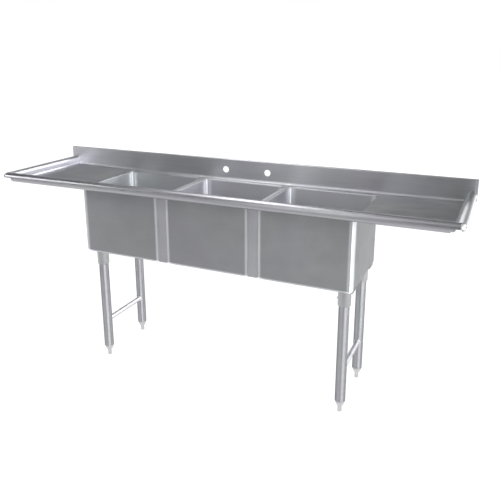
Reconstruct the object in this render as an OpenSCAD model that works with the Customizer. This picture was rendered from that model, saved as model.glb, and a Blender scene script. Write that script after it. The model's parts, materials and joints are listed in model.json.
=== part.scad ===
// Three compartment sink with two drainboards, in stainless sheet and tube.
// Origin on the floor under the middle of the sink, +X to the right, +Y to the wall, +Z up.

/* [Overall] */
// Length over both end rims
overall_length = 1944; // [1920:2:2100]
// Depth from the front of the rim to the back of the splash
overall_depth = 488; // [484:2:540]
// Height of the top of the rolled rim above the floor
rim_height = 863; // [840:1:920]
// Rise of the backsplash above the rim
splash_rise = 47; // [40:1:120]

/* [Sheet metal] */
// Thickness of the sheet
sheet = 1.5; // [1.2:0.1:2]
// Radius of the rolled rim
roll_r = 19; // [16:0.5:20]
// Drop from the top of the rim to the deck
deck_drop = 46; // [44:1:60]
// Radius of the cove where the deck meets the rim and the splash
deck_cove = 12; // [8:1:12]
// Depth of the return along the top of the splash
splash_return = 14; // [12:1:20]
// Height of the lip behind the splash
splash_lip = 20; // [12:1:30]

/* [Bowls] */
// Inside width of a bowl
bowl_width = 381; // [360:1:384]
// Inside length of a bowl from front to back
bowl_length = 366; // [350:1:368]
// Depth of a bowl below the deck
bowl_depth = 291; // [250:1:310]
// Width of the deck between two bowls
divider = 26; // [24:1:32]
// Distance from the front of the rim to the inside of the bowls
bowl_setback = 81.6; // [80:0.2:84]
// Inside radius of a bowl's corners
bowl_cove = 14.5; // [12:0.5:18]
// How far the front filler strips sit behind the bowl fronts
filler_recess = 3; // [2:0.5:5]

/* [Faucet holes] */
// Distance between the two faucet holes
faucet_centres = 203.2; // [200:0.1:210]
// Diameter of a faucet hole
faucet_hole_d = 29; // [25:0.5:32]
// Height of the faucet holes below the top of the rim
faucet_below_rim = 1; // [-10:1:5]

/* [Drains] */
// Diameter of the drain opening in a bowl
drain_d = 89; // [88:0.5:92]
// Outside diameter of the strainer's threaded outlet
outlet_d = 47.8; // [46:0.1:49]
// Depth of the strainer's cup below the bowl's floor
cup_depth = 44; // [40:1:48]
// Length of the threaded outlet
outlet_length = 16; // [12:1:18]

/* [Legs] */
// Outside diameter of a leg
leg_d = 41.3; // [38:0.1:42]
// Wall of a leg
leg_wall = 1.5; // [1.2:0.1:2]
// Distance of the legs from the middle of the sink
leg_x = 557; // [540:1:558]
// Distance of the front legs in front of the middle
leg_front = 106; // [100:1:110]
// Distance of the rear legs behind the middle
leg_rear = 166; // [150:1:168]
// Outside diameter of a leg socket
socket_d = 50.8; // [50:0.1:52]
// Length of a leg socket below its plate
socket_length = 65; // [50:1:75]
// Height of the cross rails
rail_z = 177; // [150:1:240]
// Outside diameter of a cross rail
rail_d = 22; // [19:0.2:25.4]

/* [Feet] */
// Height of the end of a leg above the floor
leg_end = 50; // [46:1:60]
// Travel of an adjustable foot
foot_travel = 25; // [10:1:25]

/* [Hidden] */

round_fn = 96;
half_length = overall_length / 2;
half_depth = overall_depth / 2;

// Heights of the deck and the rim
deck_z = rim_height - deck_drop;
deck_under = deck_z - sheet;
roll_z = rim_height - roll_r;
splash_top = rim_height + splash_rise;

// The rim's profile, measured in from its outer edge
rim_wall = 2 * roll_r;
rim_reach = rim_wall + deck_cove;
roll_centre_x = half_length - roll_r;
roll_centre_y = -half_depth + roll_r;
deck_front = -half_depth + rim_reach;
splash_y = half_depth - splash_return;
deck_rear = splash_y - deck_cove;
pan_end = half_length - rim_reach;
mitre = rim_reach + 2 * sheet;

// The bowls
bowl_pitch = bowl_width + divider;
bowl_y = -half_depth + bowl_setback + bowl_length / 2;
bowls_half = bowl_pitch + bowl_width / 2 + sheet;
bowl_outer_r = bowl_cove + sheet;
bowl_floor = deck_z - bowl_depth;
bowl_under = bowl_floor - sheet;
bowl_front = bowl_y - bowl_length / 2 - sheet;
hull_fn = 32;

// The strainers, with heights measured from the bowl's floor
cup_r = drain_d / 2 - 1;
cup_wall = 2;
flange_r = drain_d / 2 + 12;
flange_t = 2;
nut_fit = 0.1;
gasket_t = 3;
ring_t = 1;
nut_t = 9;
nut_lugs = 8;
outlet_wall = 2.4;
basket_r = 37;
basket_rim_r = 40.5;
basket_wall = 0.8;
seat_gap = 0.2;
basket_holes = 16;
basket_hole_d = 5;
floor_holes = 8;
post_r = 4;
knob_r = 9;
stopper_r = 29;
stopper_t = 4;
basket_base = cup_wall - cup_depth + stopper_t + seat_gap;

// The legs, sockets and feet
leg_r = leg_d / 2;
plate_t = 3;
plate_w = 76;
plate_l = 66;
socket_fit = 0.1;
socket_top = bowl_under - plate_t;
socket_bottom = socket_top - socket_length;
socket_end_r = 4;
screw_z = socket_bottom + 26;
screw_r = 4;
screw_length = 8;
hex_r = 2.3;
insert_length = 40;
insert_rim_t = 2;
stud_r = 7.9;
stud_fit = 0.05;
stud_grip = 9;
stud_length = foot_travel + stud_grip;
stub_r = 8.5;
stub_height = 24;
cone_height = 20;
collar_r = leg_r - 1.2;
stub_edge = 1.5;

steel = [0.72, 0.73, 0.74];
bright = [0.82, 0.83, 0.84];
rubber = [0.12, 0.12, 0.13];
fibre = [0.78, 0.72, 0.6];

// ---- rim and splash ------------------------------------------------------

// A quarter or more of a thin ring, from one angle to another in steps of 90
module ring_part(outer_r, inner_r, removed_quadrants) {
    difference() {
        circle(r = outer_r, $fn = round_fn);
        circle(r = inner_r, $fn = round_fn);
        for (quadrant = removed_quadrants)
            rotate(90 * quadrant)
                square(outer_r + 1);
    }
}

// The rolled rim, its inner wall and the cove down to the deck
module rim_profile() {
    translate([roll_r, roll_z])
        ring_part(roll_r, roll_r - sheet, [3]);
    translate([rim_wall - sheet, deck_z + deck_cove])
        square([sheet, roll_z - deck_z - deck_cove]);
    translate([rim_reach, deck_z + deck_cove])
        ring_part(deck_cove + sheet, deck_cove, [0, 1, 3]);
}

// A right triangle standing over the whole height of the rim
module mitre_prism(points) {
    translate([0, 0, deck_z - rim_height / 2])
        linear_extrude(rim_height)
            polygon(points);
}

// The lower outer half of the roll, which is trimmed away for a short way each side of the left corner
module corner_trim() {
    width = roll_r + 2;
    translate([-half_length - 1, -half_depth - 1, roll_z - width]) {
        cube([rim_reach + 1, width, width]);
        cube([width, rim_reach + 1, width]);
    }
}

module front_rim() {
    corner = [-roll_centre_x, roll_centre_y];
    color(steel)
    difference() {
        translate([-roll_centre_x, -half_depth, 0])
            rotate([90, 0, 90])
                linear_extrude(2 * roll_centre_x)
                    rim_profile();
        for (side = [0, 1])
            mirror([side, 0, 0]) {
                mitre_prism([corner + [-1, -1], corner + [-1, mitre], corner + [mitre, mitre]]);
                corner_trim();
            }
    }
}

// The left end rim: a straight run, a domed corner at the front and mitres at both ends
module end_rim() {
    corner = [-roll_centre_x, roll_centre_y];
    rear = [-half_length + rim_wall, splash_y];
    difference() {
        translate([-half_length, splash_y, 0])
            rotate([90, 0, 0])
                linear_extrude(splash_y - roll_centre_y)
                    rim_profile();
        mitre_prism([corner + [-1, -1], corner + [mitre, -1], corner + [mitre, mitre]]);
        mitre_prism([rear, rear + [mitre, -mitre], rear + [mitre, 1], rear + [0, 1]]);
        corner_trim();
    }
    translate([corner[0], corner[1], roll_z])
        intersection() {
            difference() {
                sphere(r = roll_r, $fn = round_fn);
                sphere(r = roll_r - sheet, $fn = round_fn);
            }
            translate([-roll_r - 1, -roll_r - 1, 0])
                cube(roll_r + 1);
        }
}

module left_end_rim() { color(steel) end_rim(); }
module right_end_rim() { color(steel) mirror([1, 0, 0]) end_rim(); }

// The splash's face with its top return and rear lip, above the height of from_z
module splash_profile(from_z) {
    translate([splash_y, from_z])
        square([sheet, splash_top - from_z]);
    translate([splash_y, splash_top - sheet])
        square([splash_return, sheet]);
    translate([half_depth - sheet, splash_top - splash_lip])
        square([sheet, splash_lip]);
}

module backsplash() {
    inner = half_length - rim_wall;
    rear = [-inner, splash_y];
    color(steel)
    difference() {
        union() {
            translate([-inner, 0, 0])
                rotate([90, 0, 90])
                    linear_extrude(2 * inner) {
                        splash_profile(deck_z + deck_cove);
                        translate([deck_rear, deck_z + deck_cove])
                            ring_part(deck_cove + sheet, deck_cove, [0, 1, 2]);
                    }
            for (side = [0, 1])
                mirror([side, 0, 0])
                    translate([-half_length, 0, 0])
                        rotate([90, 0, 90])
                            linear_extrude(rim_wall)
                                splash_profile(rim_height - 2 * roll_r);
        }
        for (side = [0, 1])
            mirror([side, 0, 0])
                mitre_prism([rear + [-1, 0], rear, rear + [mitre, -mitre], rear + [-1, -mitre]]);
        for (side = [-1, 1])
            translate([side * faucet_centres / 2, half_depth, rim_height - faucet_below_rim])
                rotate([90, 0, 0])
                    cylinder(d = faucet_hole_d, h = splash_return + 1, $fn = round_fn);
    }
}

// The plate that closes the end of the boxed splash
module splash_end() {
    bottom = rim_height - 2 * roll_r;
    translate([-half_length, splash_y + sheet, bottom])
        cube([sheet, splash_return - 2 * sheet, splash_top - sheet - bottom]);
}

module left_splash_end() { color(steel) splash_end(); }
module right_splash_end() { color(steel) mirror([1, 0, 0]) splash_end(); }

// ---- deck, drainboards and stiffeners ------------------------------------

module rounded_rectangle(width, length, radius) {
    square([width - 2 * radius, length], center = true);
    square([width, length - 2 * radius], center = true);
    for (x = [-1, 1], y = [-1, 1])
        translate([x * (width / 2 - radius), y * (length / 2 - radius)])
            circle(r = radius, $fn = round_fn);
}

module bowl_deck() {
    color(steel)
    translate([0, 0, deck_under])
        linear_extrude(sheet)
            difference() {
                translate([-bowls_half, deck_front])
                    square([2 * bowls_half, deck_rear - deck_front]);
                for (place = [-1:1])
                    translate([place * bowl_pitch, bowl_y])
                        rounded_rectangle(bowl_width, bowl_length, bowl_cove);
            }
}

module drainboard() {
    translate([-pan_end, deck_front, deck_under])
        cube([pan_end - bowls_half, deck_rear - deck_front, sheet]);
}

module left_drainboard() { color(steel) drainboard(); }
module right_drainboard() { color(steel) mirror([1, 0, 0]) drainboard(); }

// A hat channel under a drainboard, from the bowl's side to near the end rim
module stiffener() {
    hat_w = 44;
    hat_h = 18;
    flange = 14;
    gap = 8;
    translate([-pan_end + gap, 0, deck_under - hat_h])
        rotate([90, 0, 90])
            linear_extrude(pan_end - bowls_half - 2 * gap)
                for (side = [0, 1])
                    mirror([side, 0]) {
                        square([hat_w / 2, sheet]);
                        translate([hat_w / 2 - sheet, 0])
                            square([sheet, hat_h]);
                        translate([hat_w / 2 - sheet, hat_h - sheet])
                            square([flange + sheet, sheet]);
                    }
}

module left_stiffener() { color(steel) stiffener(); }
module right_stiffener() { color(steel) mirror([1, 0, 0]) stiffener(); }

// ---- bowls ---------------------------------------------------------------

// A box with round upright corners and a round bottom edge, up to a height of top_z
module tub(width, length, radius, bottom_z, top_z) {
    hull() {
        for (x = [-1, 1], y = [-1, 1])
            translate([x * (width / 2 - radius), y * (length / 2 - radius), bottom_z + radius]) {
                sphere(r = radius, $fn = hull_fn);
                cylinder(r = radius, h = top_z - bottom_z - radius, $fn = hull_fn);
            }
        translate([radius - width / 2, radius - length / 2, bottom_z])
            cube([width - 2 * radius, length - 2 * radius, radius]);
    }
}

module bowl(place) {
    translate([place * bowl_pitch, bowl_y, 0])
        difference() {
            tub(bowl_width + 2 * sheet, bowl_length + 2 * sheet, bowl_outer_r, bowl_under, deck_under);
            tub(bowl_width, bowl_length, bowl_cove, bowl_floor, deck_z + 1);
            translate([0, 0, bowl_under - 1])
                cylinder(d = drain_d, h = sheet + 2, $fn = round_fn);
        }
}

module left_bowl() { color(steel) bowl(-1); }
module middle_bowl() { color(steel) bowl(0); }
module right_bowl() { color(steel) bowl(1); }

// The strip that closes the front of the gap between two bowls
module filler(side) {
    gap = divider - 2 * sheet;
    corner_x = gap / 2 + bowl_outer_r;
    bottom = bowl_under + bowl_outer_r;
    translate([side * bowl_pitch / 2, bowl_front, bottom])
        difference() {
            translate([-corner_x, filler_recess, 0])
                cube([2 * corner_x, sheet, deck_under - bottom]);
            for (x = [-corner_x, corner_x])
                translate([x, bowl_outer_r, -1])
                    cylinder(r = bowl_outer_r + nut_fit, h = deck_z, $fn = round_fn);
        }
}

module left_filler() { color(bright) filler(-1); }
module right_filler() { color(bright) filler(1); }

// ---- strainers -----------------------------------------------------------

// Puts a lathe-turned drain piece on the axis of a bowl, with z = 0 at the bowl's floor
module at_drain(place) {
    translate([place * bowl_pitch, bowl_y, bowl_floor])
        children();
}

module strainer(place) {
    outlet_r = outlet_d / 2;
    inner_r = cup_r - cup_wall;
    color(bright)
    at_drain(place)
        rotate_extrude($fn = round_fn)
            polygon([
                [outlet_r - outlet_wall, -cup_depth - outlet_length],
                [outlet_r, -cup_depth - outlet_length],
                [outlet_r, -cup_depth],
                [cup_r, -cup_depth],
                [cup_r, 0],
                [flange_r, 0],
                [flange_r - 2, flange_t],
                [inner_r + 2, flange_t],
                [inner_r, 0],
                [inner_r, cup_wall - cup_depth],
                [outlet_r - outlet_wall, cup_wall - cup_depth]
            ]);
}

// A flat ring round the strainer's cup, with its top at height top
module cup_ring(place, outer_r, thickness, top) {
    at_drain(place)
        translate([0, 0, top - thickness])
            difference() {
                cylinder(r = outer_r, h = thickness, $fn = round_fn);
                translate([0, 0, -1])
                    cylinder(r = cup_r + nut_fit, h = thickness + 2, $fn = round_fn);
            }
}

module gasket(place) {
    color(rubber)
    cup_ring(place, flange_r, gasket_t, -sheet);
}

module friction_ring(place) {
    color(fibre)
    cup_ring(place, flange_r - 2, ring_t, -sheet - gasket_t);
}

// The nut that pulls the strainer down, with lugs for a spanner
module locknut(place) {
    nut_r = flange_r - 5;
    lug_w = 9;
    lug_start = cup_r + cup_wall;
    top = -sheet - gasket_t - ring_t;
    color(bright)
    at_drain(place)
        translate([0, 0, top - nut_t])
            linear_extrude(nut_t)
                difference() {
                    union() {
                        circle(r = nut_r, $fn = round_fn);
                        for (lug = [1:nut_lugs])
                            rotate((lug - 0.5) * 360 / nut_lugs)
                                translate([lug_start, -lug_w / 2])
                                    square([flange_r - 2 - lug_start, lug_w]);
                    }
                    circle(r = cup_r + nut_fit, $fn = round_fn);
                }
}

// The perforated lift-out basket with its post and knob
module basket(place) {
    base = basket_base;
    wall_z = base / 2;
    color(bright)
    at_drain(place)
        difference() {
            rotate_extrude($fn = round_fn)
                polygon([
                    [0, base],
                    [basket_r, base],
                    [basket_r, -4],
                    [basket_rim_r, -1],
                    [basket_rim_r, 0],
                    [basket_rim_r - 1, 0],
                    [basket_r - basket_wall, -3.4],
                    [basket_r - basket_wall, base + basket_wall],
                    [post_r, base + basket_wall],
                    [post_r, -6],
                    [knob_r, -4],
                    [knob_r, 0],
                    [knob_r - 2, 2],
                    [0, 2]
                ]);
            for (turn = [1:basket_holes])
                rotate(turn * 360 / basket_holes)
                    translate([basket_r - 3, 0, wall_z])
                        rotate([0, 90, 0])
                            cylinder(d = basket_hole_d, h = 6, $fn = 24);
            for (turn = [1:floor_holes])
                rotate(turn * 360 / floor_holes)
                    translate([basket_r - 5, 0, base - 1])
                        cylinder(d = basket_hole_d, h = basket_wall + 2, $fn = 24);
        }
}

// The rubber disc under the basket that closes the outlet
module stopper(place) {
    color(rubber)
    at_drain(place)
        translate([0, 0, basket_base - stopper_t])
            cylinder(r1 = stopper_r - 2, r2 = stopper_r, h = stopper_t, $fn = round_fn);
}

module left_strainer() { strainer(-1); }
module middle_strainer() { strainer(0); }
module right_strainer() { strainer(1); }
module left_gasket() { gasket(-1); }
module middle_gasket() { gasket(0); }
module right_gasket() { gasket(1); }
module left_friction_ring() { friction_ring(-1); }
module middle_friction_ring() { friction_ring(0); }
module right_friction_ring() { friction_ring(1); }
module left_locknut() { locknut(-1); }
module middle_locknut() { locknut(0); }
module right_locknut() { locknut(1); }
module left_basket() { basket(-1); }
module middle_basket() { basket(0); }
module right_basket() { basket(1); }
module left_stopper() { stopper(-1); }
module middle_stopper() { stopper(0); }
module right_stopper() { stopper(1); }

// ---- legs and feet -------------------------------------------------------

// Puts a piece on the axis of a leg: side is -1 or 1, and end is -1 for the front
module at_leg(side, end) {
    leg_y = end < 0 ? -leg_front : leg_rear;
    translate([side * leg_x, leg_y, 0])
        children();
}

// A plate welded under the bowl, with a tube that holds the leg
module socket(side, end) {
    outer_r = socket_d / 2;
    color(steel)
    at_leg(side, end)
        difference() {
            union() {
                translate([-plate_w / 2, -plate_l / 2, socket_top])
                    cube([plate_w, plate_l, plate_t]);
                rotate_extrude($fn = round_fn)
                    polygon([
                        [0, socket_bottom],
                        [outer_r - 3, socket_bottom],
                        [outer_r, socket_bottom + socket_end_r],
                        [outer_r, socket_top - socket_end_r],
                        [outer_r + socket_end_r, socket_top],
                        [0, socket_top]
                    ]);
            }
            translate([0, 0, socket_bottom - 1])
                cylinder(r = leg_r + socket_fit, h = socket_length + 1, $fn = round_fn);
            translate([0, 0, screw_z])
                rotate([0, -side * 90, 0])
                    cylinder(r = screw_r + socket_fit, h = outer_r + 2, $fn = 48);
        }
}

module front_left_socket() { socket(-1, -1); }
module front_right_socket() { socket(1, -1); }
module rear_left_socket() { socket(-1, 1); }
module rear_right_socket() { socket(1, 1); }

// One screw in the inner side of each socket
module socket_set_screws() {
    color(bright)
    for (side = [-1, 1], end = [-1, 1])
        at_leg(side, end)
            translate([0, 0, screw_z])
                rotate([0, -side * 90, 0])
                    translate([0, 0, leg_r])
                        difference() {
                            cylinder(r = screw_r, h = screw_length, $fn = 48);
                            translate([0, 0, screw_length / 2])
                                cylinder(r = hex_r, h = screw_length, $fn = 6);
                        }
}

module leg(side, end) {
    color(bright)
    at_leg(side, end)
        translate([0, 0, leg_end])
            difference() {
                cylinder(r = leg_r, h = socket_top - leg_end, $fn = round_fn);
                translate([0, 0, -1])
                    cylinder(r = leg_r - leg_wall, h = rim_height, $fn = round_fn);
            }
}

module front_left_leg() { leg(-1, -1); }
module front_right_leg() { leg(1, -1); }
module rear_left_leg() { leg(-1, 1); }
module rear_right_leg() { leg(1, 1); }

// A tube from front leg to rear leg, coped to fit round both
module cross_rail(side) {
    color(bright)
    difference() {
        translate([side * leg_x, leg_rear, rail_z])
            rotate([90, 0, 0])
                difference() {
                    cylinder(d = rail_d, h = leg_front + leg_rear, $fn = round_fn);
                    translate([0, 0, -1])
                        cylinder(d = rail_d - 2 * leg_wall, h = leg_front + leg_rear + 2, $fn = round_fn);
                }
        for (end = [-1, 1])
            at_leg(side, end)
                translate([0, 0, rail_z - rail_d])
                    cylinder(r = leg_r, h = 2 * rail_d, $fn = round_fn);
    }
}

module left_cross_rail() { cross_rail(-1); }
module right_cross_rail() { cross_rail(1); }

// A threaded sleeve pressed into the end of a leg
module insert(side, end) {
    color(steel)
    at_leg(side, end)
        difference() {
            union() {
                translate([0, 0, leg_end])
                    cylinder(r = leg_r - leg_wall, h = insert_length, $fn = round_fn);
                translate([0, 0, leg_end - insert_rim_t])
                    cylinder(r = leg_r, h = insert_rim_t, $fn = round_fn);
            }
            translate([0, 0, leg_end - insert_rim_t - 1])
                cylinder(r = stud_r + stud_fit, h = insert_length + insert_rim_t + 2, $fn = round_fn);
        }
}

module front_left_insert() { insert(-1, -1); }
module front_right_insert() { insert(1, -1); }
module rear_left_insert() { insert(-1, 1); }
module rear_right_insert() { insert(1, 1); }

// The bullet foot: a stud that screws into the insert, over a cone and a stub
module foot(side, end) {
    top = leg_end - insert_rim_t - seat_gap;
    color(bright)
    at_leg(side, end)
        rotate_extrude($fn = round_fn)
            polygon([
                [0, 0],
                [stub_r - stub_edge, 0],
                [stub_r, stub_edge],
                [stub_r, stub_height],
                [collar_r, stub_height + cone_height],
                [collar_r, top],
                [stud_r, top],
                [stud_r, top + stud_length],
                [0, top + stud_length]
            ]);
}

module front_left_foot() { foot(-1, -1); }
module front_right_foot() { foot(1, -1); }
module rear_left_foot() { foot(-1, 1); }
module rear_right_foot() { foot(1, 1); }

front_rim();
left_end_rim();
right_end_rim();
backsplash();
left_splash_end();
right_splash_end();
bowl_deck();
left_drainboard();
right_drainboard();
left_stiffener();
right_stiffener();
left_bowl();
middle_bowl();
right_bowl();
left_filler();
right_filler();
front_left_socket();
front_right_socket();
rear_left_socket();
rear_right_socket();
socket_set_screws();
front_left_leg();
front_right_leg();
rear_left_leg();
rear_right_leg();
left_cross_rail();
right_cross_rail();
front_left_insert();
front_right_insert();
rear_left_insert();
rear_right_insert();
front_left_foot();
front_right_foot();
rear_left_foot();
rear_right_foot();
left_strainer();
middle_strainer();
right_strainer();
left_gasket();
middle_gasket();
right_gasket();
left_friction_ring();
middle_friction_ring();
right_friction_ring();
left_locknut();
middle_locknut();
right_locknut();
left_basket();
middle_basket();
right_basket();
left_stopper();
middle_stopper();
right_stopper();
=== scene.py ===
import json
import math

import bmesh
import bpy
from mathutils import Matrix, Vector


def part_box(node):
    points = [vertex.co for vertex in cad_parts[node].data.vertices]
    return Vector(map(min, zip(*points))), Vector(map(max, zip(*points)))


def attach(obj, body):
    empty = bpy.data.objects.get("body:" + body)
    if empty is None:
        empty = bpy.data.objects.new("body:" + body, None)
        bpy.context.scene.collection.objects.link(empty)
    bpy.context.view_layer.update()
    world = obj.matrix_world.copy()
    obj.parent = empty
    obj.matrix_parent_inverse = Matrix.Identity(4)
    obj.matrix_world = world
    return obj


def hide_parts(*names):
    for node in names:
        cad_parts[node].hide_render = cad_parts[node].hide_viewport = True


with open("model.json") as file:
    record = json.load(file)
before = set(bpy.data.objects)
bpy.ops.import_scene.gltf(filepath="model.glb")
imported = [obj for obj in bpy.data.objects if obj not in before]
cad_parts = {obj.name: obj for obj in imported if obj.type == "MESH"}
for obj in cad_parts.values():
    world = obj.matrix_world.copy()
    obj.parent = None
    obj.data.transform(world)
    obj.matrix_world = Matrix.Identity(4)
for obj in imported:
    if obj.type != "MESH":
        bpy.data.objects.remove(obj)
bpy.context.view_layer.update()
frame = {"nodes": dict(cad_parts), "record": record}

# ---- sizes in metres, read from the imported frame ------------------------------

MM = 0.001
SINK = "sink"
SIDES = {"left": -1, "right": 1}
PLACES = {"left": -1, "middle": 0, "right": 1}
ENDS = ("front", "rear")
SLOT_OF = {part["node"]: part["material_slot"] for part in frame["record"]["subparts"]}

deck_lo, deck_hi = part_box("bowl_deck")
rim_lo, rim_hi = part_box("front_rim")
end_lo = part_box("left_end_rim")[0]
splash_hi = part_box("backsplash")[1]
cap_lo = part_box("left_splash_end")[0]
pan_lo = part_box("left_drainboard")[0]
bowl_lo, bowl_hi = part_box("middle_bowl")
next_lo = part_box("right_bowl")[0]

SHEET = deck_hi.z - deck_lo.z
DECK_Z = deck_hi.z
RIM_Z = rim_hi.z
HALF_L = -end_lo.x
FRONT_Y = rim_lo.y
ROLL_R = (rim_hi.z - cap_lo.z) / 2
ROLL_Z = RIM_Z - ROLL_R
REACH = deck_lo.y - rim_lo.y
COVE = REACH - 2 * ROLL_R
SPLASH_Y = cap_lo.y - SHEET
SPLASH_TOP = splash_hi.z
BACK_Y = splash_hi.y
DECK_FRONT = deck_lo.y
DECK_REAR = deck_hi.y
BOWLS_HALF = deck_hi.x
PAN_END = -pan_lo.x
WALL_X = HALF_L - 2 * ROLL_R
FALL = 4 * MM
LIP_R = 6 * MM
PITCH = next_lo.x - bowl_lo.x
BOWL_W = bowl_hi.x - bowl_lo.x - 2 * SHEET
BOWL_L = bowl_hi.y - bowl_lo.y - 2 * SHEET
BOWL_Y = (bowl_hi.y + bowl_lo.y) / 2
BOWL_R = 14.5 * MM
FLOOR_Z = bowl_lo.z + SHEET
LEG_WALL = 1.5 * MM
SOCKET_R = 25.4 * MM
SOCKET_PLATE = 3 * MM
DRAIN_R = 44.5 * MM


# ---- mesh helpers ---------------------------------------------------------------

MERGE_DISTANCE, SHORTEST_EDGE = 3e-6, 2e-6


def finish_mesh(mesh, sharp_deg):
    """Smooth shading, with edges sharper than sharp_deg left crisp."""
    bm = bmesh.new()
    bm.from_mesh(mesh)
    bmesh.ops.delete(bm, geom=[v for v in bm.verts if not v.link_faces], context="VERTS")
    bmesh.ops.remove_doubles(bm, verts=bm.verts, dist=MERGE_DISTANCE)
    bmesh.ops.dissolve_degenerate(bm, edges=bm.edges, dist=SHORTEST_EDGE)
    bmesh.ops.recalc_face_normals(bm, faces=bm.faces)
    limit = math.radians(sharp_deg)
    for face in bm.faces:
        face.smooth = True
    for edge in bm.edges:
        edge.smooth = len(edge.link_faces) == 2 and edge.calc_face_angle(0.0) < limit
    bm.to_mesh(mesh)
    bm.free()


def add_piece(name, verts, faces, material, node=None, body=SINK, sharp_deg=32):
    """A mesh piece that rides on a body and may stand for a CAD node."""
    mesh = bpy.data.meshes.new(name)
    mesh.from_pydata([tuple(v) for v in verts], [], faces)
    finish_mesh(mesh, sharp_deg)
    mesh.materials.append(material)
    piece = bpy.data.objects.new(name, mesh)
    bpy.context.scene.collection.objects.link(piece)
    weighted = piece.modifiers.new("normals", "WEIGHTED_NORMAL")
    weighted.keep_sharp = True
    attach(piece, body)
    if node:
        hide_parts(node)
    return piece


class Shape:
    """Collects the vertices and faces of one piece, which may hold several shells."""

    def __init__(self):
        self.verts = []
        self.faces = []

    def add(self, verts, faces):
        start = len(self.verts)
        self.verts.extend(verts)
        self.faces.extend([[start + i for i in face] for face in faces])

    def grid(self, rows, close_u=False, close_v=False):
        """Quads over rows of points; u runs along a row and v from row to row."""
        count = len(rows[0])
        faces = []
        for v in range(len(rows) if close_v else len(rows) - 1):
            low, high = v * count, ((v + 1) % len(rows)) * count
            for u in range(count if close_u else count - 1):
                after = (u + 1) % count
                faces.append([low + u, low + after, high + after, high + u])
        self.add([point for row in rows for point in row], faces)

    def sheet(self, outer, inner, skipped=(), closed=False):
        """A shell between two grids of points, without the skipped (v, u) cells; closed joins rows' ends."""
        count = len(outer[0])
        spans = count if closed else count - 1
        cells = {(v, u) for v in range(len(outer) - 1) for u in range(spans)} - set(skipped)
        under = len(outer) * count
        faces = []
        for v, u in sorted(cells):
            a, b = v * count + u, v * count + (u + 1) % count
            c, d = b + count, a + count
            faces.append([a, b, c, d])
            faces.append([under + d, under + c, under + b, under + a])
            for dv, du, p, q in ((-1, 0, a, b), (0, 1, b, c), (1, 0, c, d), (0, -1, d, a)):
                if (v + dv, (u + du) % spans if closed else u + du) not in cells:
                    faces.append([q, p, under + p, under + q])
        self.add([point for row in list(outer) + list(inner) for point in row], faces)

    def disc(self, ring):
        """Closes a ring of points with one face."""
        self.add(ring, [list(range(len(ring)))])

    def lathe(self, profile, centre, steps=64):
        """Turns a closed outline of (radius, height) points about a vertical axis."""
        rows = []
        for r, z in profile:
            ring = []
            for k in range(steps):
                a = 2 * math.pi * k / steps
                ring.append(Vector((centre[0] + r * math.cos(a), centre[1] + r * math.sin(a), centre[2] + z)))
            rows.append(ring)
        self.grid(rows, close_u=True, close_v=True)

    def build(self, name, material, **options):
        return add_piece(name, self.verts, self.faces, material, **options)


def arc(cx, cy, radius, start, end, steps=14):
    """Points on an arc, with angles in degrees."""
    angles = [math.radians(start + (end - start) * k / steps) for k in range(steps + 1)]
    return [(cx + radius * math.cos(a), cy + radius * math.sin(a)) for a in angles]


def rounded_loop(width, length, radius, per_corner=8, per_edge=8):
    """Points round a rounded rectangle about the origin, from the right end of its rear edge."""
    points = []
    for turn, (sx, sy) in enumerate(((1, 1), (-1, 1), (-1, -1), (1, -1))):
        nx, ny = ((-1, 1), (-1, -1), (1, -1), (1, 1))[turn]
        corner = arc(sx * (width / 2 - radius), sy * (length / 2 - radius), radius, 90 * turn, 90 * turn + 90,
                     per_corner)
        onward = arc(nx * (width / 2 - radius), ny * (length / 2 - radius), radius, 90 * turn + 90,
                     90 * turn + 180, 1)[0]
        points.extend(corner)
        for k in range(1, per_edge):
            t = k / per_edge
            points.append((corner[-1][0] + (onward[0] - corner[-1][0]) * t,
                           corner[-1][1] + (onward[1] - corner[-1][1]) * t))
    return points


def lifted(loop, x, y, z):
    return [Vector((x + px, y + py, z)) for px, py in loop]


def mirrored(shape):
    """The same shape on the other side of the sink."""
    other = Shape()
    other.verts = [Vector((-v[0], v[1], v[2])) for v in shape.verts]
    other.faces = [list(reversed(face)) for face in shape.faces]
    return other


def fall(x):
    """How far the drainboards rise above the deck at a distance x from the middle."""
    t = (abs(x) - BOWLS_HALF) / (PAN_END - BOWLS_HALF)
    return FALL * min(max(t, 0), 1)


# ---- materials ------------------------------------------------------------------

def node_tree(name):
    material = bpy.data.materials.new(name)
    material.use_nodes = True
    tree = material.node_tree
    tree.nodes.clear()
    return material, tree


def add_node(tree, kind, inputs=None, **settings):
    node = tree.nodes.new(kind)
    for key, value in settings.items():
        setattr(node, key, value)
    for key, value in (inputs or {}).items():
        if isinstance(value, bpy.types.NodeSocket):
            tree.links.new(value, node.inputs[key])
        else:
            node.inputs[key].default_value = value
    return node


def noise(tree, scale, detail=2.0, roughness=0.5, stretch=(1, 1, 1), shift=(0, 0, 0)):
    """Noise in the sink's own coordinates, stretched by dividing each axis."""
    place = add_node(tree, "ShaderNodeTexCoord").outputs["Object"]
    mapped = add_node(tree, "ShaderNodeMapping",
                      {"Vector": place, "Location": shift, "Scale": [1 / s for s in stretch]}).outputs[0]
    return add_node(tree, "ShaderNodeTexNoise",
                    {"Vector": mapped, "Scale": scale, "Detail": detail, "Roughness": roughness}).outputs[0]


def remap(tree, value, low, high, out_low, out_high):
    return add_node(tree, "ShaderNodeMapRange", {"Value": value, "From Min": low, "From Max": high,
                                                 "To Min": out_low, "To Max": out_high}).outputs[0]


def ramp(tree, value, low, high, out_low=0.0, out_high=1.0):
    """A smooth step from out_low to out_high as value goes from low to high."""
    return add_node(tree, "ShaderNodeMapRange", {
        "Value": value, "From Min": low, "From Max": high, "To Min": out_low, "To Max": out_high},
        interpolation_type="SMOOTHSTEP").outputs[0]


def combine(tree, operation, a, b):
    return add_node(tree, "ShaderNodeMath", {0: a, 1: b}, operation=operation).outputs[0]


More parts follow.
